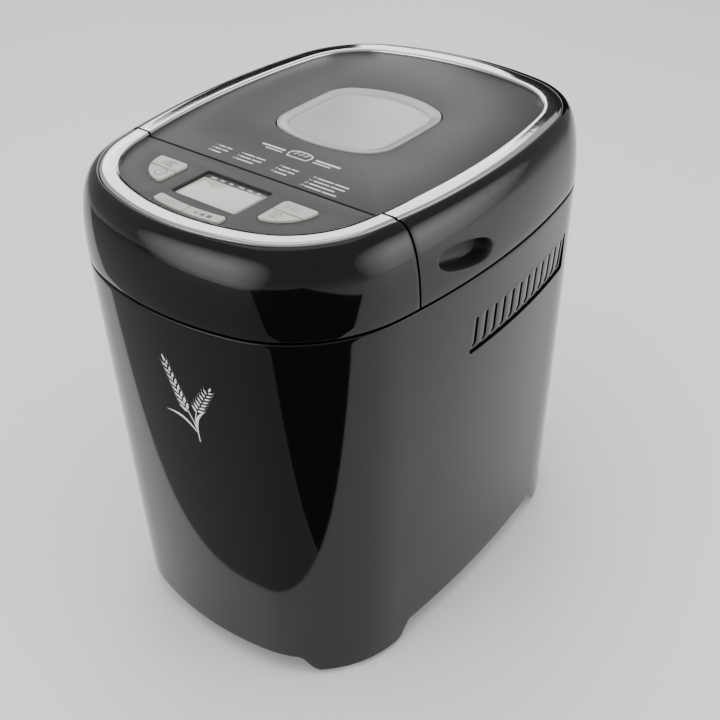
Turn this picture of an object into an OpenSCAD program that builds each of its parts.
// Bread maker: a tapered moulded housing, a control top with keys and a display,
// and a hinged lid with a window. Inside are the baking chamber, the heater,
// the lift-out pan with its handle and paddle, and the belt drive that turns it.
// Millimetres, +Z up. The control top faces -Y and the lid's hinge is at +Y.
// The origin is on the floor under the middle of the body.

/* [Body] */
// Width of the body across the seam
body_w = 236.6; // [196:0.2:290]
// Length of the body at the seam, front to back
body_l = 312.2; // [258:0.2:376]
// Height of the seam between housing and lid
seam_z = 262; // [218:1:316]
// Height of the lid and control top above the seam
top_h = 49; // [44:1:60]
// How much narrower each side of the skirt is than the seam
base_draft = 9; // [4:0.5:14]
// Wall of the moulded housings
wall = 2.6; // [2:0.1:3.2]
// Height of the raised skirt edge above the floor
skirt_z = 16; // [14:1:18]
// Width of the visible groove between moulded pieces
groove = 1.4; // [0.8:0.1:2]
// Length of the control top, front to the lid's edge
control_l = 84; // [80:1:92]

/* [Outline radii] */
// Bow of the long sides at the seam
side_bow_r = 442; // [380:1:800]
// Bow of the front and back at the seam
end_bow_r = 198; // [180:1:260]
// Front corners at the seam
corner_front_r = 82; // [60:1:90]
// Back corners at the seam
corner_back_r = 87; // [60:1:92]
// Roundness of the domed side of the top
dome_power = 2.3; // [2:0.05:2.8]

/* [Top ring and panel] */
// Side inset of the ring from the seam
ring_in_side = 12.4; // [9:0.1:16]
// Front inset of the ring from the seam
ring_in_front = 13.4; // [9:0.1:18]
// Back inset of the ring from the seam
ring_in_back = 21.9; // [18:0.1:28]
// Width of the bright ring
ring_w = 11.3; // [8:0.1:13]
// Height of the ring's top edge above the panel
panel_drop = 2.7; // [1:0.1:3.5]
// Thickness of the flat panel
panel_t = 2.3; // [1.6:0.1:3]

/* [Window] */
// Half width of the lid window
window_half_w = 43.5; // [36:0.5:48]
// Half length of the lid window
window_half_l = 43.7; // [36:0.5:48]
// Distance from the lid's front edge to the window's middle
window_from_lid = 91.2; // [84:0.2:96]
// Corner radius of the window
window_r = 20; // [14:1:24]
// Width of the window's rim
bezel_w = 4; // [3:0.5:5]

/* [Display and keys] */
// Width of the display
lcd_w = 49; // [40:1:54]
// Depth of the display
lcd_l = 29; // [22:1:30]
// Distance from the lid's front edge to the display's middle
lcd_from_lid = 26.6; // [24:0.1:28]
// Radius of the quarter-round keys
key_r = 23; // [18:0.5:24]
// Distance from the middle to the quarter-round keys
key_x = 36.5; // [33:0.5:40]
// Depth of the curved front keys, front to back
bar_key_l = 7; // [5:0.5:8]
// Half width of the pair of curved front keys
bar_key_half_w = 24.5; // [18:0.5:28]
// Travel of a key
key_travel = 0.8; // [0.5:0.1:1.2]
// Gap round a key or the display
key_gap = 0.35; // [0.3:0.05:0.5]

/* [Baking chamber and pan] */
// Space between body side and chamber
chamber_side = 36.3; // [33:0.1:44]
// Space between body back and chamber
chamber_back = 44.1; // [42:0.1:52]
// Space between lid's front edge and chamber
chamber_front = 28; // [26:0.5:34]
// Corner radius inside the chamber
chamber_r = 30; // [24:1:34]
// Sheet thickness of the chamber
chamber_t = 1.4; // [1:0.1:2]
// Height of the chamber's floor
chamber_z = 108; // [106:0.5:112]
// Space between chamber side and pan
pan_gap_x = 14; // [13:0.5:18]
// Space between chamber front or back and pan
pan_gap_y = 17; // [15:0.5:20]
// Corner radius of the pan
pan_r = 24; // [16:1:28]
// Wall of the pan
pan_t = 1.6; // [1.2:0.1:2.2]
// Width of the pan's rolled rim
rim_w = 3; // [2:0.5:3]
// Length of the handle's arms
handle_l = 50; // [44:0.5:51]
// Radius of the handle's grip
grip_r = 4.5; // [3.5:0.5:4.5]
// Angle at which the handle rests on the rim
handle_rest = 15; // [14:0.5:18]

/* [Heater] */
// Radius of the heater rod
rod_r = 3.25; // [3:0.05:3.6]
// Height of the rod's middle above the chamber's floor
rod_up = 14; // [12:0.5:16]
// Bend radius of the loop's corners
rod_bend_r = 26; // [20:1:28]

/* [Drive] */
// Radius of the drive shaft and the motor shaft
shaft_r = 4; // [3.5:0.1:4.5]
// Running clearance of a shaft in its bush
run_gap = 0.05; // [0.02:0.01:0.08]
// Outer radius of the bushes
bush_r = 8; // [7:0.5:9]
// Radius of the large pulley
pulley_r = 48; // [40:1:54]
// Radius of the small pulley
pinion_r = 10; // [8:0.5:12]
// Radius of the motor
motor_r = 42; // [36:1:43]
// Height of the motor
motor_h = 42; // [36:1:44]
// Thickness of the belt
belt_t = 2; // [1.5:0.1:2.5]

/* [Hinge and vents] */
// Radius of the hinge knuckles
knuckle_r = 4.5; // [4:0.1:5]
// Radius of the hinge pins
pin_r = 2; // [1.6:0.1:2.4]
// Height of the hinge axis above the seam
hinge_up = 5; // [5:0.1:6]
// Number of slots in each vent
slot_n = 12; // [8:1:12]
// Distance from slot to slot
slot_pitch = 9.4; // [8:0.2:9.6]
// Width of a slot
slot_w = 3.2; // [2:0.1:4]
// Height of the vent's opening
vent_h = 26; // [20:1:30]
// Depth of the finger scoops in the lid's sides
scoop_r = 8; // [6:0.5:9]

/* [Hidden] */

$fn = 48;
eps = 0.01;
half_w = body_w / 2;
half_l = body_l / 2;
base_half = half_w - base_draft;
top_z = seam_z + top_h;
split_y = -half_l + control_l;

// An outline is [half width, front, back, side radius, front radius, back radius,
// front corner, back corner, middle]: arcs that run smoothly into each other.
seam_o = [half_w, half_l, half_l, side_bow_r, end_bow_r, end_bow_r,
    min(corner_front_r, half_w * 0.78), min(corner_back_r, half_w * 0.8), 0];
base_o = [base_half, half_l, half_l - 0.6, side_bow_r + 263, end_bow_r + 12,
    end_bow_r + 12, min(corner_front_r - 10, base_half * 0.76),
    min(corner_back_r + 3, base_half * 0.83), 0];
ring_mid = 8.6;
ring_o = [half_w - ring_in_side, half_l - ring_in_front + ring_mid,
    half_l - ring_in_back - ring_mid, side_bow_r - 27, end_bow_r - 39.5,
    end_bow_r + 8, min(corner_front_r - 16.5, half_w * 0.6),
    min(corner_back_r - 28, half_w * 0.6), ring_mid];

// Heights of the top's layers
rim_z = seam_z - groove / 2;
lid_z = seam_z + groove / 2;
panel_z = top_z - panel_drop;
seat_z = panel_z - panel_t;
plate_t = 3;
plate_z = seat_z - plate_t;
deck_t = 3;
deck_z = seam_z - 2;
deck_under = deck_z - deck_t;
ledge_w = 4;
ledge_z = deck_under - 3;
edge_drop = 0.7;

// Feet and bottom
pad_r = 9;
pad_h = 4;
tab_z = 4.2;
tab_ramp = 10;
boss_r = 12;
plate_gap = 0.3;
floor_z = skirt_z + 0.5;
floor_t = 3;
floor_top = floor_z + floor_t;
foot_in = [11.5, 15];
front_foot = corner_mid(base_o, -1) + (base_o[6] - foot_in[0]) * [cos(34), -sin(34)];
back_foot = corner_mid(base_o, 1) + (base_o[7] - foot_in[1]) * [cos(39.5), sin(39.5)];
post_r = 5;
screw_r = 1.5;
wall_post = [base_half - 9, 60];
post_h = 46;

// Chamber and pan
chamber_w = body_w - 2 * chamber_side;
chamber_y0 = split_y + chamber_front;
chamber_y1 = half_l - chamber_back;
chamber_l = chamber_y1 - chamber_y0;
axis_y = (chamber_y0 + chamber_y1) / 2;
chamber_top = deck_z;
pan_w = chamber_w - 2 * pan_gap_x;
pan_l = chamber_l - 2 * pan_gap_y;
pan_z = chamber_z + 28;
rim_top = seam_z - 12;
pivot_z = rim_top - 8;
handle_x = pan_w / 2 + rim_w + 2.5;

// Drive train
chassis_z = 60;
chassis_t = 2;
chassis_top = chassis_z + chassis_t;
chassis_half = base_half - 31.3;
chassis_y0 = -half_l + 22;
chassis_y1 = axis_y + 58;
leg_x = chassis_half - 10;
leg_front_y = chassis_y0 + 22;
leg_back_y = chassis_y1 - 12;
motor_x = -10;
motor_y = -half_l + 60;
capacitor_r = 13;
belt_z = floor_top + 12.5;
belt_h = 8;
pulley_z = belt_z - 1.5;
pulley_h = belt_h + 3;
belt_gap = 0.3;
coupler_z = chamber_z + 4.5;
coupler_r = 11;
hub_h = 5.5;
dog_h = 8;

// Hinge
hinge_y = half_l - 6;
hinge_z = seam_z + hinge_up;
hinge_x = 26;
leaf_w = 11;
knuckle_w = 6;
side_gap = 0.35;
flat_y = hinge_y - 0.6;

// Vents
vent_y0 = -29;
vent_len = slot_n * slot_pitch + 3;
vent_z0 = seam_z - 27 - vent_h;
grille_gap = 0.2;

// Mains inlet, heater legs and sensor
gland_x = 40;
gland_z = skirt_z + 26;
gland_r = 7;
gland_flange = 3;
gland_l = 16;
gland_y = back_y(tub_at(gland_z), gland_x + gland_r + gland_flange) - wall - 1;
cord_r = 3.2;
sensor_z = chamber_z + 62;
leg_gap = 15;
turn_r = 8;
shield_y = chamber_y0 - chamber_t - 8;

// Control top
board_z = seam_z + 24;
board_t = 1.6;
board_half = key_x + 31.5;
board_corner = [20, 25];
switch_h = 3.4;
key_up = 1.2;
lcd_y = split_y - lcd_from_lid;
key_y = split_y - 15.1;
bar_mid_y = -half_l + ring_in_front + end_bow_r - 39.5;
bar_r = end_bow_r - 39.5 - ring_w - bar_key_l - 3.3;
window_y = split_y + window_from_lid;
window_o = [window_half_w, window_half_l, window_half_l, 530, 93, 73, window_r,
    window_r, window_y];
inner_z = plate_z - 4;
liner_t = 1.2;
cavity_w = chamber_w - 4;
cavity_y0 = chamber_y0 + 6;
cavity_y1 = chamber_y1 - 6;

function mixed(a, b, t) = [for (i = [0:8]) a[i] + (b[i] - a[i]) * t];
function grown(o, d) = [for (i = [0:8]) i < 8 ? o[i] + d : o[i]];

// Middle of the corner circle that touches the side circle and an end circle.
function corner_mid(o, s) =
    let (end_r = s < 0 ? o[4] : o[5], reach = s < 0 ? o[1] : o[2])
    let (r = s < 0 ? o[6] : o[7])
    let (c = [o[0] - o[3], 0], d = [0, s * (reach - end_r)] - c)
    let (l = norm(d), p = o[3] - r, q = end_r - r)
    let (t = (p * p - q * q + l * l) / (2 * l), h = sqrt(max(p * p - t * t, 0)))
    c + d * t / l + s * h * [-d.y, d.x] / l;

// Place of an outline's back at a distance from the middle.
function back_y(o, x) =
    let (k = corner_mid(o, 1), joint = o[5] * k.x / norm(k - [0, o[2] - o[5]]))
    x < joint ? o[2] - o[5] + sqrt(o[5] * o[5] - x * x)
        : k.y + sqrt(o[7] * o[7] - (x - k.x) * (x - k.x));

function angle_of(v) = atan2(v.y, v.x);
function arc(c, r, a0, a1, n) =
    [for (i = [0:n - 1]) let (a = a0 + (a1 - a0) * i / n) c + r * [cos(a), sin(a)]];

// Points of an outline's right half, front middle to back middle.
function half_outline(o) =
    let (f = corner_mid(o, -1), b = corner_mid(o, 1), s = [o[0] - o[3], 0])
    let (fc = [0, o[4] - o[1]], bc = [0, o[2] - o[5]])
    let (a1 = angle_of(f - fc), a2 = angle_of(f - s))
    let (a3 = angle_of(b - s), a4 = angle_of(b - bc))
    concat(arc(fc, o[4], -90, a1, 4), arc(f, o[6], a1, a2, 8), arc(s, o[3], a2, a3, 6),
        arc(b, o[7], a3, a4, 8), arc(bc, o[5], a4, 90, 4), [[0, o[2]]]);

module outline(o) {
    right = half_outline(o);
    n = len(right);
    translate([0, o[8]])
        polygon(concat(right, [for (i = [n - 2:-1:1]) [-right[i].x, right[i].y]]));
}

module slab(o, z, h) {
    translate([0, 0, z])
        linear_extrude(h)
            outline(o);
}

// Outline of the housing's draught at a height.
function tub_at(z) = mixed(base_o, seam_o, (z - skirt_z) / (seam_z - skirt_z));

module tub(inset, z0, z1) {
    hull() {
        slab(grown(tub_at(z0), -inset), z0, eps);
        slab(grown(tub_at(z1), -inset), z1 - eps, eps);
    }
}

module dome(inset, z0, z1) {
    steps = 7;
    hull()
        for (i = [0:steps]) {
            t = pow(cos(90 * i / steps), 2 / dome_power);
            h = pow(sin(90 * i / steps), 2 / dome_power);
            slab(grown(mixed(ring_o, seam_o, t), -inset), z0 + (z1 - eps - z0) * h, eps);
        }
}

module rounded(w, l, r) {
    square([w - 2 * r, l], center = true);
    square([w, l - 2 * r], center = true);
    for (x = [-1, 1], y = [-1, 1])
        translate([x * (w / 2 - r), y * (l / 2 - r)])
            circle(r);
}

module mirror_x() {
    children();
    mirror([1, 0, 0])
        children();
}

module behind(y, z0 = -10, z1 = 400) {
    translate([-300, y, z0])
        cube([600, 600, z1 - z0]);
}

module before(y, z0 = -10, z1 = 400) {
    translate([-300, y - 600, z0])
        cube([600, 600, z1 - z0]);
}

module tube(r, bore, h) {
    difference() {
        cylinder(h = h, r = r);
        translate([0, 0, -1])
            cylinder(h = h + 2, r = bore);
    }
}

module at_feet() {
    for (p = [front_foot, back_foot], s = [-1, 1])
        translate([s * p.x, p.y, 0])
            children();
}

module at_legs() {
    for (y = [leg_front_y, leg_back_y], s = [-1, 1])
        translate([s * leg_x, y, 0])
            children();
}

module at_wall_posts() {
    for (x = [-1, 1], y = [-1, 1])
        translate([x * wall_post.x, y * wall_post.y, 0])
            children();
}

// The skirt comes down to the floor at each corner, with sloped ends.
module foot_tabs() {
    top = skirt_z + 0.2;
    x0 = base_half - 41;
    y0 = half_l - 82;
    intersection() {
        difference() {
            slab(base_o, tab_z, top - tab_z);
            slab(grown(base_o, -wall), tab_z - 1, skirt_z + 2);
        }
        mirror_x()
            rotate([90, 0, 0])
                linear_extrude(2 * half_l + 20, center = true)
                    polygon([[x0, top + 1], [x0 + tab_ramp, 0], [300, 0], [300, top + 1]]);
        for (s = [-1, 1])
            mirror([0, s < 0 ? 1 : 0, 0])
                rotate([90, 0, 90])
                    linear_extrude(2 * half_w + 20, center = true)
                        polygon([[y0, top + 1], [y0 + tab_ramp, 0], [300, 0], [300, top + 1]]);
    }
}

module vent_box(gap, depth) {
    mirror_x()
        translate([half_w - depth, vent_y0 + gap, vent_z0 + gap])
            cube([depth + 10, vent_len - 2 * gap, vent_h - 2 * gap]);
}

module lower_housing() color("#17171a") {
    difference() {
        union() {
            difference() {
                tub(0, skirt_z, rim_z);
                tub(wall, skirt_z - 1, ledge_z);
                slab(grown(seam_o, -wall - ledge_w), ledge_z - 1, 6);
                slab(grown(seam_o, -wall), deck_under, 20);
            }
            foot_tabs();
            at_wall_posts()
                translate([0, 0, floor_top])
                    cylinder(h = post_h, r = post_r);
        }
        vent_box(0, 30);
        at_wall_posts()
            translate([0, 0, floor_top - 1])
                cylinder(h = 13, r = screw_r);
        translate([gland_x, half_l - 20, gland_z])
            rotate([-90, 0, 0])
                cylinder(h = 40, r = gland_r + 0.2);
    }
}

module base_plate() color("#1d1d20") {
    difference() {
        union() {
            slab(grown(base_o, -wall - plate_gap), floor_z, floor_t);
            intersection() {
                slab(grown(base_o, -wall - plate_gap), 0, floor_z + 2);
                at_feet()
                    translate([0, 0, pad_h - 2])
                        cylinder(h = floor_z - pad_h + 3, r = boss_r);
            }
            at_legs()
                translate([0, 0, floor_z + 1])
                    cylinder(h = chassis_z - floor_z - 1, r = 6);
        }
        at_feet()
            translate([0, 0, -1])
                cylinder(h = pad_h + 1, r = pad_r);
        at_legs()
            translate([0, 0, chassis_z - 14])
                cylinder(h = 20, r = screw_r);
        at_wall_posts()
            translate([0, 0, floor_z - 1]) {
                cylinder(h = 20, r = screw_r + 0.3);
                cylinder(h = 2.4, r = 3.4);
            }
        for (i = [-4:4])
            translate([motor_x - 25, motor_y + i * 6 - 1.5, floor_z - 1])
                cube([50, 3, floor_t + 2]);
    }
}

module rubber_feet() color("#b9b9b4") {
    at_feet()
        cylinder(h = pad_h, r = pad_r);
}

module vent_grilles() color("#101012") {
    difference() {
        intersection() {
            difference() {
                tub(1, vent_z0 - 5, seam_z - 20);
                tub(3.4, vent_z0 - 6, seam_z - 19);
            }
            vent_box(grille_gap, 30);
        }
        mirror_x()
            for (i = [0:slot_n - 1])
                translate([half_w - 40, vent_y0 + 1.5 + (i + 0.5) * slot_pitch - slot_w / 2,
                    vent_z0 + 3])
                    cube([60, slot_w, vent_h - 6]);
    }
}

module cable_gland() color("#0f0f10") {
    translate([gland_x, 0, gland_z])
        rotate([-90, 0, 0])
            difference() {
                union() {
                    translate([0, 0, gland_y - 5])
                        cylinder(h = gland_l, r = gland_r);
                    translate([0, 0, gland_y - 5])
                        cylinder(h = 5, r = gland_r + gland_flange);
                }
                translate([0, 0, gland_y - 6])
                    cylinder(h = gland_l + 2, r = cord_r);
            }
}

module chamber_outline(extra) {
    translate([0, axis_y])
        rounded(chamber_w + 2 * extra, chamber_l + 2 * extra, chamber_r + extra);
}

module top_deck() color("#202024") {
    difference() {
        slab(grown(seam_o, -wall - 0.2), deck_under, deck_t);
        translate([0, 0, deck_under - 1])
            linear_extrude(10)
                chamber_outline(chamber_t + 0.3);
        translate([-50, split_y - 62, deck_under - 1])
            cube([100, 46, 10]);
    }
}

module base_screws() color("#9a9a9c") {
    at_wall_posts() {
        translate([0, 0, floor_z])
            cylinder(h = 1.4, r = 3.2);
        translate([0, 0, floor_z + 1])
            cylinder(h = 13, r = screw_r);
    }
}

module chassis() color("#a7a9ab") {
    difference() {
        translate([0, 0, chassis_z])
            linear_extrude(chassis_t)
                translate([0, (chassis_y0 + chassis_y1) / 2])
                    rounded(2 * chassis_half, chassis_y1 - chassis_y0, 18);
        translate([0, axis_y, chassis_z - 1])
            cylinder(h = 5, r = 13);
        translate([motor_x, motor_y, chassis_z - 1])
            cylinder(h = 5, r = 12);
        at_legs()
            translate([0, 0, chassis_z - 1])
                cylinder(h = 5, r = screw_r + 0.3);
        for (s = [-1, 1])
            translate([s * (chassis_half - 30), axis_y - 20, chassis_z - 1])
                cylinder(h = 5, r = 16);
    }
}

module motor_body() color("#8d8f92") {
    translate([motor_x, motor_y, chassis_top])
        difference() {
            cylinder(h = motor_h, r = motor_r);
            translate([0, 0, 7])
                cylinder(h = motor_h - 14, r = motor_r - 19);
            translate([0, 0, -1])
                cylinder(h = motor_h + 2, r = shaft_r + run_gap);
        }
}

module motor_bracket() color("#77797c") {
    translate([motor_x, motor_y, chassis_top]) {
        tube(motor_r + 2, motor_r, 9);
        for (a = [60, 120, 240, 300])
            rotate([0, 0, a])
                translate([motor_r + 1.5, -6, 0])
                    cube([9, 12, 2]);
    }
}

module run_capacitor() color("#d8d8d2") {
    reach = motor_r + capacitor_r + 2;
    translate([motor_x - reach * cos(30), motor_y + reach * sin(30), chassis_top])
        cylinder(h = 40, r = capacitor_r);
}

module power_board() color("#2f6b3c") {
    x = motor_x + motor_r + 14;
    translate([x, motor_y - 28, chassis_top]) {
        cube([1.6, 64, 80]);
        translate([1.6, 8, 18])
            cube([16, 22, 26]);
        translate([1.6, 38, 14])
            cube([12, 18, 14]);
        translate([1.6, 46, 48])
            rotate([0, 90, 0])
                cylinder(h = 14, r = 6);
    }
}

// Loop of two straight runs and two arcs round the pulleys with gap g.
module belt_loop(g) {
    d = [motor_x, motor_y - axis_y];
    r1 = pulley_r + g;
    r2 = pinion_r + g;
    lean = acos((r1 - r2) / norm(d));
    dir = angle_of(d);
    translate([0, axis_y])
        polygon(concat(arc([0, 0], r1, dir + lean, dir + 360 - lean, 40),
            [r1 * [cos(dir - lean), sin(dir - lean)]],
            arc(d, r2, dir - lean, dir + lean, 16),
            [d + r2 * [cos(dir + lean), sin(dir + lean)]]));
}

module drive_belt() color("#141414") {
    translate([0, 0, belt_z])
        linear_extrude(belt_h)
            difference() {
                belt_loop(belt_gap + belt_t);
                belt_loop(belt_gap);
            }
}

module bearing_housing() color("#b4b6b8") {
    translate([0, axis_y, chassis_top])
        difference() {
            union() {
                cylinder(h = chamber_z - chassis_top + 2, r = 13);
                cylinder(h = 4, r = 26);
            }
            translate([0, 0, -1])
                cylinder(h = 90, r = bush_r);
        }
}

module bearing_bushes() color("#a9823f") {
    for (z = [chassis_top + 2, chamber_z - 14])
        translate([0, axis_y, z])
            tube(bush_r, shaft_r + run_gap, 14);
}

module baking_chamber() color("#b9bbbd") {
    difference() {
        union() {
            translate([0, 0, chamber_z])
                linear_extrude(chamber_top - chamber_z + 1.2)
                    chamber_outline(chamber_t);
            translate([0, 0, chamber_top])
                linear_extrude(1.2)
                    chamber_outline(8);
        }
        translate([0, 0, chamber_z + chamber_t])
            linear_extrude(400)
                chamber_outline(0);
        translate([0, axis_y, chamber_z - 1])
            cylinder(h = 5, r = 13.2);
        for (s = [-1, 1])
            translate([s * leg_gap, chamber_y0 + 5, chamber_z + rod_up])
                rotate([90, 0, 0])
                    cylinder(h = 20, r = rod_r + 0.1);
        translate([40, chamber_y0 + 5, sensor_z])
            rotate([90, 0, 0])
                cylinder(h = 20, r = 3.1);
    }
}

module heat_shield() color("#c4c6c8") {
    translate([-chamber_w / 2 - 2, shield_y - 0.8, chamber_z - 2])
        cube([chamber_w + 4, 0.8, deck_under - chamber_z + 2]);
    translate([-chamber_w / 2 - 2, shield_y - 12, deck_under - 0.8])
        cube([chamber_w + 4, 12, 0.8]);
}

module rod_turn(r, a) {
    rotate([0, 0, a])
        rotate_extrude(angle = 90)
            translate([r, 0])
                circle(rod_r);
}

module rod_along(p, q) {
    d = q - p;
    translate([p.x, p.y, 0])
        rotate([0, 90, angle_of(d)])
            cylinder(h = norm(d), r = rod_r);
}

module heating_element() color("#6f6f72") {
    hw = chamber_w / 2 - 7;
    y0 = chamber_y0 + 8;
    y1 = chamber_y1 - 8;
    r = rod_bend_r;
    translate([0, 0, chamber_z + rod_up]) {
        rod_along([-hw + r, y1], [hw - r, y1]);
        mirror_x() {
            rod_along([hw, y0 + r], [hw, y1 - r]);
            rod_along([leg_gap + turn_r, y0], [hw - r, y0]);
            rod_along([leg_gap, shield_y + 1.2], [leg_gap, y0 - turn_r]);
            translate([hw - r, y1 - r])
                rod_turn(r, 0);
            translate([hw - r, y0 + r])
                rod_turn(r, 270);
            translate([leg_gap + turn_r, y0 - turn_r])
                rod_turn(turn_r, 90);
        }
    }
}

module element_clips() color("#a5a7a9") {
    z = chamber_z + chamber_t;
    h = rod_up - chamber_t - rod_r;
    for (s = [-1, 1])
        translate([s * (chamber_w / 2 - 7) - 3, axis_y - 5, z])
            cube([6, 10, h]);
    translate([-5, chamber_y1 - 11, z])
        cube([10, 6, h]);
}

module element_terminals() color("#e9e6dc") {
    for (s = [-1, 1])
        translate([s * leg_gap, chamber_y0 - chamber_t, chamber_z + rod_up])
            rotate([90, 0, 0])
                tube(6, rod_r, 5);
}

module pan_seat() color("#9b9da0") {
    translate([0, axis_y, chamber_z + chamber_t]) {
        tube(47, 43, 8);
        for (a = [45:90:315])
            rotate([0, 0, a])
                translate([46, -5, 0])
                    cube([7, 10, 3]);
    }
}

module temperature_sensor() color("#c9cbcd") {
    translate([40, chamber_y0 + 10, sensor_z])
        rotate([90, 0, 0])
            cylinder(h = 16, r = 3);
    translate([40, chamber_y0 - chamber_t, sensor_z])
        rotate([90, 0, 0])
            tube(7, 3, 3);
}

module at_hinges() {
    for (s = [-1, 1])
        translate([s * hinge_x, hinge_y, hinge_z])
            children();
}

module knuckle(w, r, bore) {
    rotate([0, 90, 0])
        translate([0, 0, -w / 2])
            tube(r, bore, w);
}

module hinge_brackets() color("#232326") {
    off = leaf_w / 2 + side_gap + knuckle_w / 2;
    difference() {
        at_hinges()
            for (t = [-1, 1])
                translate([t * off, 0, 0]) {
                    knuckle(knuckle_w, knuckle_r, pin_r);
                    translate([-knuckle_w / 2, -9.5, deck_z - hinge_z])
                        cube([knuckle_w, 6.5, hinge_z - deck_z]);
                }
        at_hinges()
            rotate([0, 90, 0])
                cylinder(h = 60, r = pin_r, center = true);
    }
}

module hinge_pins() color("#b7b9bb") {
    at_hinges()
        rotate([0, 90, 0])
            cylinder(h = leaf_w + 2 * (side_gap + knuckle_w), r = pin_r, center = true);
}

module hinge_leaves() color("#1f1f22") {
    at_hinges() {
        knuckle(leaf_w, knuckle_r, pin_r + 0.06);
        difference() {
            translate([-leaf_w / 2, -16, lid_z + 2 - hinge_z])
                cube([leaf_w, 16, knuckle_r - 1 + hinge_z - lid_z - 2]);
            rotate([0, 90, 0])
                cylinder(h = 60, r = pin_r + 0.06, center = true);
        }
    }
}

module key_shape(shape, gap) {
    if (shape < 2)
        intersection() {
            translate([key_x, key_y])
                circle(key_r + gap);
            translate([key_x - gap, key_y - key_r - gap])
                square([key_r + 2 * gap, key_r + 2 * gap]);
        }
    if (shape == 2)
        intersection() {
            difference() {
                translate([0, bar_mid_y])
                    circle(bar_r + bar_key_l + gap);
                translate([0, bar_mid_y])
                    circle(bar_r - gap);
            }
            translate([-bar_key_half_w - gap, -half_l])
                square([2 * bar_key_half_w + 2 * gap, 60]);
        }
}

module key_holes(z, h) {
    translate([0, 0, z])
        linear_extrude(h) {
            key_shape(2, key_gap, $fn = 180);
            mirror_x()
                key_shape(0, key_gap);
            translate([0, lcd_y])
                square([lcd_w, lcd_l], center = true);
        }
}

module top_recess() {
    slab(ring_o, seat_z, 20);
}

module control_housing() color("#17171a") {
    difference() {
        intersection() {
            difference() {
                dome(0, lid_z, top_z - edge_drop);
                top_recess();
                intersection() {
                    dome(wall, lid_z - 0.5, plate_z);
                    before(split_y - groove / 2 - wall);
                }
            }
            before(split_y - groove / 2);
        }
        key_holes(plate_z - 5, 20);
    }
    intersection() {
        union() {
            difference() {
                slab(grown(seam_o, -wall - 0.3), deck_z, lid_z + 0.1 - deck_z);
                slab(grown(seam_o, -wall - 2.7), deck_z - 1, 10);
            }
            difference() {
                slab(grown(seam_o, -wall + 1), lid_z, 3);
                slab(grown(seam_o, -wall - 2.7), lid_z - 1, 10);
            }
        }
        before(split_y - groove / 2 - 1);
    }
    mirror_x()
        translate([board_half - 4, lcd_y, board_z + board_t])
            cylinder(h = plate_z - board_z - board_t + 0.5, r = 3);
}

module control_panel() color("#5f5e5d") {
    difference() {
        intersection() {
            slab(grown(ring_o, -ring_w), seat_z, panel_t);
            before(split_y - groove / 2);
        }
        key_holes(seat_z - 1, 10);
    }
}

module ring() {
    difference() {
        slab(grown(ring_o, -0.1), seat_z, top_z - seat_z);
        slab(grown(ring_o, -ring_w), seat_z - 1, 20);
    }
}

module control_trim() color("#cfd1d3") {
    intersection() {
        ring();
        before(split_y - groove / 2);
    }
}

module lcd_lens() color("#b9c0b6") {
    translate([0, lcd_y, plate_z + 1])
        linear_extrude(panel_z - plate_z - 1.2)
            square([lcd_w - 2 * key_gap, lcd_l - 2 * key_gap], center = true);
}

module lcd_module() color("#8a9a88") {
    translate([-lcd_w / 2 - 3, lcd_y - lcd_l / 2 - 1.5, plate_z - 6])
        cube([lcd_w + 6, lcd_l + 3, 6]);
}

module control_board() color("#2f6b3c") {
    y0 = split_y - 58;
    translate([0, 0, board_z])
        linear_extrude(board_t)
            polygon([[board_half, y0 + 50], [board_half, y0 + board_corner.y],
                [board_half - board_corner.x, y0], [board_corner.x - board_half, y0],
                [-board_half, y0 + board_corner.y], [-board_half, y0 + 50]]);
}

// Middle of each key's stem: quarter keys back and front, then the curved pair.
function stem_at(i) = i == 0 ? [key_x + 10, key_y - 5]
    : i == 1 ? [key_x + 6, key_y - 16]
    : [bar_key_half_w / 2, bar_mid_y - bar_r - bar_key_l / 2 + 0.5];

module at_stems() {
    for (i = [0:2], s = [-1, 1])
        translate([s * stem_at(i).x, stem_at(i).y, 0])
            children();
}

module tact_switches() color("#303030") {
    at_stems() {
        translate([-3, -3, board_z + board_t])
            cube([6, 6, switch_h]);
        translate([0, 0, board_z + board_t + switch_h])
            cylinder(h = 0.6, r = 1.6);
    }
}

module window_cut(extra, z, h) {
    slab(grown(window_o, extra), z, h);
}

module scoop(x) {
    hull() {
        translate([x, split_y + 22.5, seam_z + 19])
            sphere(scoop_r, $fn = 28);
        translate([x, split_y + 49, seam_z + 15])
            sphere(scoop_r - 1, $fn = 28);
    }
}

module lid_shell() color("#17171a") {
    y0 = split_y + groove / 2;
    difference() {
        union() {
            difference() {
                dome(0, lid_z, top_z - edge_drop);
                top_recess();
                difference() {
                    intersection() {
                        dome(wall, lid_z - 0.5, plate_z);
                        behind(y0 + wall);
                        before(flat_y - wall);
                    }
                    mirror_x()
                        translate([half_w - 20, split_y + 8, seam_z + 3.5])
                            cube([30, 56, 28]);
                }
            }
            at_lid_screws()
                translate([0, 0, lid_z + 2])
                    cylinder(h = plate_z - lid_z - 1, r = 4.5);
        }
        before(y0);
        behind(flat_y);
        window_cut(0.1, plate_z - 10, 30);
        mirror_x()
            scoop(half_w - 1.5);
        at_lid_screws()
            translate([0, 0, lid_z])
                cylinder(h = 14, r = screw_r);
        for (s = [-1, 1])
            translate([s * hinge_x - leaf_w / 2 - knuckle_w - 1, hinge_y - 11, lid_z - 1])
                cube([leaf_w + 2 * knuckle_w + 2, 20, hinge_z - lid_z + knuckle_r + 1.9]);
    }
}

module at_lid_screws() {
    mirror_x() {
        translate([half_w - 24.3, axis_y, 0])
            children();
        translate([half_w - 54, hinge_y - 30, 0])
            children();
    }
}

module lid_screws() color("#9a9a9c") {
    at_lid_screws() {
        translate([0, 0, lid_z])
            cylinder(h = 1.1, r = 3);
        translate([0, 0, lid_z + 1])
            cylinder(h = 12, r = screw_r);
    }
}

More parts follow.
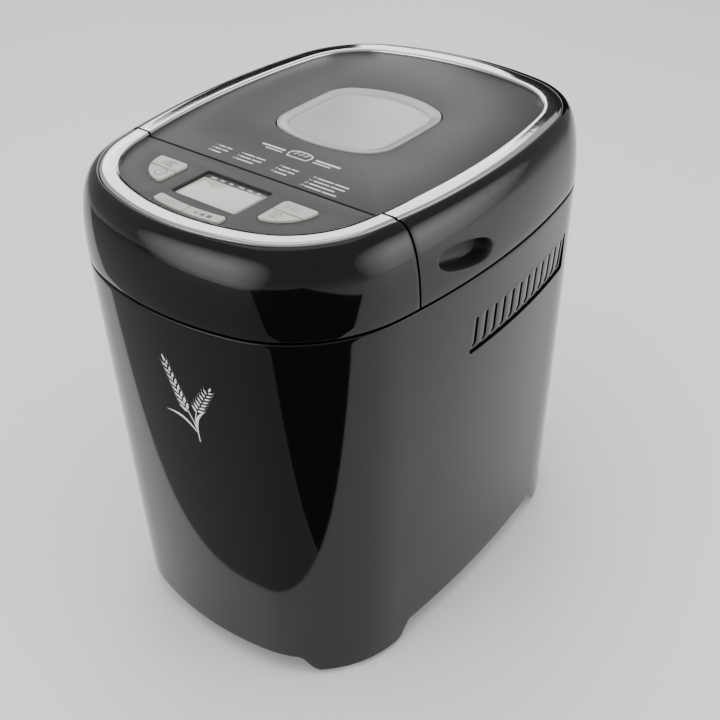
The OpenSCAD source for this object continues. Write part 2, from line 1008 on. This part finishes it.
module lid_panel() color("#5f5e5d") {
    difference() {
        intersection() {
            slab(grown(ring_o, -ring_w), seat_z, panel_t);
            behind(split_y + groove / 2);
        }
        window_cut(0.1, seat_z - 1, 20);
    }
}

module lid_trim() color("#cfd1d3") {
    intersection() {
        ring();
        behind(split_y + groove / 2);
    }
}

module window_bezel() color("#c9cdd0", 0.7) {
    difference() {
        window_cut(0, plate_z, panel_z + 0.7 - plate_z);
        window_cut(-bezel_w, plate_z + 1.5, 20);
        window_cut(-bezel_w - 4, plate_z - 1, 20);
    }
}

module lid_window() color("#c9cdd0", 0.6) {
    window_cut(-bezel_w, plate_z + 1.5, 3.2);
}

module inner_window() color("#c9cdd0", 0.6) {
    window_cut(-bezel_w - 1, inner_z, 3);
}

module cavity_outline(extra) {
    translate([0, (cavity_y0 + cavity_y1) / 2])
        rounded(cavity_w + 2 * extra, cavity_y1 - cavity_y0 + 2 * extra, chamber_r + extra);
}

module lid_liner() color("#bfc1c3") {
    difference() {
        union() {
            intersection() {
                slab(grown(seam_o, -wall - 1.2), lid_z, 2);
                behind(split_y + groove / 2 + wall + 0.3);
                before(hinge_y - 12);
            }
            translate([0, 0, lid_z])
                linear_extrude(inner_z - lid_z)
                    cavity_outline(liner_t);
        }
        translate([0, 0, lid_z - 1])
            linear_extrude(inner_z - lid_z - liner_t + 1)
                cavity_outline(0);
        window_cut(-bezel_w - 5, inner_z - 5, 20);
        at_lid_screws()
            translate([0, 0, lid_z - 1]) {
                cylinder(h = 10, r = screw_r + 0.3);
                cylinder(h = 2.1, r = 3.2);
            }
    }
}

module pan_outline(extra) {
    translate([0, axis_y])
        rounded(pan_w + 2 * extra, pan_l + 2 * extra, pan_r + extra);
}

module bread_pan() color("#4a4a4c") {
    difference() {
        union() {
            translate([0, 0, pan_z])
                linear_extrude(rim_top - pan_z)
                    pan_outline(0);
            translate([0, 0, rim_top - 2])
                linear_extrude(2)
                    pan_outline(rim_w);
        }
        translate([0, 0, pan_z + pan_t])
            linear_extrude(400)
                pan_outline(-pan_t);
        translate([0, axis_y, pan_z - 1])
            cylinder(h = 5, r = bush_r);
    }
}

module pan_base() color("#8f9194") {
    h = pan_z - chamber_z - chamber_t - 0.4;
    translate([0, axis_y, pan_z - h])
        tube(42, 36, h);
    translate([0, axis_y, pan_z - 2])
        tube(37, bush_r, 2);
    translate([0, axis_y, pan_z - 4.5])
        tube(coupler_r + 1, bush_r, 2.6);
}

module pan_bush() color("#a9823f") {
    translate([0, axis_y, pan_z - 4.5])
        tube(bush_r, shaft_r + run_gap, 8);
}

module at_pivots() {
    mirror_x()
        translate([pan_w / 2, axis_y, pivot_z])
            rotate([0, 90, 0])
                children();
}

module pan_pivots() color("#bcbec0") {
    at_pivots() {
        cylinder(h = 2.6, r = 5);
        cylinder(h = 9.5, r = 3);
        translate([0, 0, 7.8])
            cylinder(h = 2, r = 5);
    }
}

module pan_handle() color("#9fa1a3") {
    translate([0, axis_y, pivot_z])
        rotate([handle_rest, 0, 0]) {
            translate([0, handle_l, 0])
                rotate([0, 90, 0]) {
                    cylinder(h = 2 * handle_x, r = 2.2, center = true);
                    cylinder(h = 1.2 * handle_x, r = grip_r, center = true);
                }
            mirror_x()
                translate([handle_x, 0, 0]) {
                    rotate([0, 90, 0])
                        translate([0, 0, -2])
                            tube(5, 3 + run_gap, 4);
                    translate([0, 4, 0])
                        rotate([-90, 0, 0])
                            cylinder(h = handle_l - 4, r = 1.8);
                    translate([0, handle_l, 0])
                        sphere(2.6);
                }
        }
}

module pan_shaft() color("#c2c4c6") {
    translate([0, axis_y, coupler_z + hub_h + 1 + dog_h])
        cylinder(h = pan_z + 16 - coupler_z - hub_h - 1 - dog_h, r = shaft_r);
}

// A hub with two dogs that reach towards the other half.
module coupler(up, turn) {
    rotate([up ? 0 : 180, 0, turn]) {
        tube(coupler_r, shaft_r, up ? hub_h : 4);
        for (s = [-1, 1])
            rotate([0, 0, 90 - 90 * s])
                translate([5.5, -3, (up ? hub_h : 4) - eps])
                    cube([5, 6, dog_h]);
    }
}

module drive_coupler() color("#74767a") {
    translate([0, axis_y, coupler_z])
        coupler(true, 0);
}

module shaft_coupler() color("#74767a") {
    translate([0, axis_y, coupler_z + hub_h + 1 + dog_h + 4])
        coupler(false, 90);
}

module kneading_paddle() color("#3d3d3f") {
    z = pan_z + 4.5;
    translate([0, axis_y, z]) {
        difference() {
            cylinder(h = 17, r = 9);
            translate([0, 0, -1])
                cylinder(h = pan_z + 16 - z + 1, r = shaft_r);
        }
        difference() {
            translate([6, -3, 0])
                cube([32, 6, 26]);
            translate([-20, 0, 50])
                rotate([90, 0, 0])
                    cylinder(h = 20, r = 44, center = true);
            translate([0, 0, -1])
                cylinder(h = 30, r = 8);
        }
    }
}

module drive_shaft() color("#c2c4c6") {
    translate([0, axis_y, pulley_z - 4])
        cylinder(h = coupler_z + hub_h - pulley_z + 4, r = shaft_r);
}

module large_pulley() color("#2b2b2e") {
    translate([0, axis_y, pulley_z])
        difference() {
            cylinder(h = pulley_h, r = pulley_r, $fn = 96);
            translate([0, 0, -1])
                cylinder(h = 30, r = shaft_r);
            for (a = [0:60:300])
                rotate([0, 0, a])
                    translate([pulley_r * 0.58, 0, -1])
                        cylinder(h = 30, r = pulley_r * 0.2);
        }
}

module motor_rotor() color("#c2c4c6") {
    translate([motor_x, motor_y, pulley_z - 2])
        cylinder(h = chassis_top + motor_h + 14 - pulley_z + 2, r = shaft_r);
    translate([motor_x, motor_y, chassis_top + 8])
        tube(motor_r - 20, shaft_r, motor_h - 16);
}

module small_pulley() color("#9d9fa2") {
    translate([motor_x, motor_y, pulley_z])
        tube(pinion_r, shaft_r, pulley_h);
}

module cooling_fan() color("#2b2b2e") {
    translate([motor_x, motor_y, chassis_top + motor_h + 3]) {
        tube(9, shaft_r, 9);
        for (a = [0:60:300])
            rotate([0, 0, a])
                translate([8, -1, 0])
                    cube([24, 2, 9]);
    }
}

// A key: its cap stands through the plate and the panel, with a stem below.
module key(shape, i, side) {
    mirror([side < 0 ? 1 : 0, 0, 0]) {
        translate([0, 0, plate_z + 0.4])
            linear_extrude(panel_z + key_up - plate_z - 0.4)
                intersection() {
                    key_shape(shape, 0, $fn = shape == 2 ? 180 : 48);
                    key_half(i);
                }
        translate([stem_at(i).x, stem_at(i).y, board_z + board_t + switch_h + 0.7 + key_travel])
            cylinder(h = plate_z - board_z - board_t - switch_h - key_travel, r = 2);
    }
}

// The half of a key pair that each key takes, with a slit between the halves.
module key_half(i) {
    slit = 0.4;
    if (i == 0)
        translate([0, key_y - key_r * 0.46 + slit / 2])
            square([200, 60]);
    if (i == 1)
        translate([0, key_y - key_r * 0.46 - slit / 2 - 60])
            square([200, 60]);
    if (i == 2)
        translate([slit / 2, -half_l])
            square([200, 100]);
}

module key_menu() color("#c4c8c0") key(0, 0, -1);
module key_timer() color("#c4c8c0") key(0, 1, -1);
module key_start() color("#c4c8c0") key(0, 0, 1);
module key_stop() color("#c4c8c0") key(0, 1, 1);
module key_loaf() color("#c4c8c0") key(2, 2, -1);
module key_colour() color("#c4c8c0") key(2, 2, 1);

lower_housing();
base_plate();
rubber_feet();
vent_grilles();
cable_gland();
top_deck();
base_screws();
chassis();
motor_body();
motor_bracket();
run_capacitor();
power_board();
drive_belt();
bearing_housing();
bearing_bushes();
baking_chamber();
heat_shield();
heating_element();
element_clips();
element_terminals();
pan_seat();
temperature_sensor();
hinge_brackets();
hinge_pins();
control_housing();
control_panel();
control_trim();
lcd_lens();
lcd_module();
control_board();
tact_switches();
lid_shell();
lid_panel();
lid_trim();
window_bezel();
lid_window();
inner_window();
lid_liner();
lid_screws();
hinge_leaves();
bread_pan();
pan_base();
pan_bush();
pan_pivots();
pan_handle();
pan_shaft();
shaft_coupler();
kneading_paddle();
drive_shaft();
large_pulley();
drive_coupler();
motor_rotor();
small_pulley();
cooling_fan();
key_menu();
key_timer();
key_loaf();
key_colour();
key_start();
key_stop();
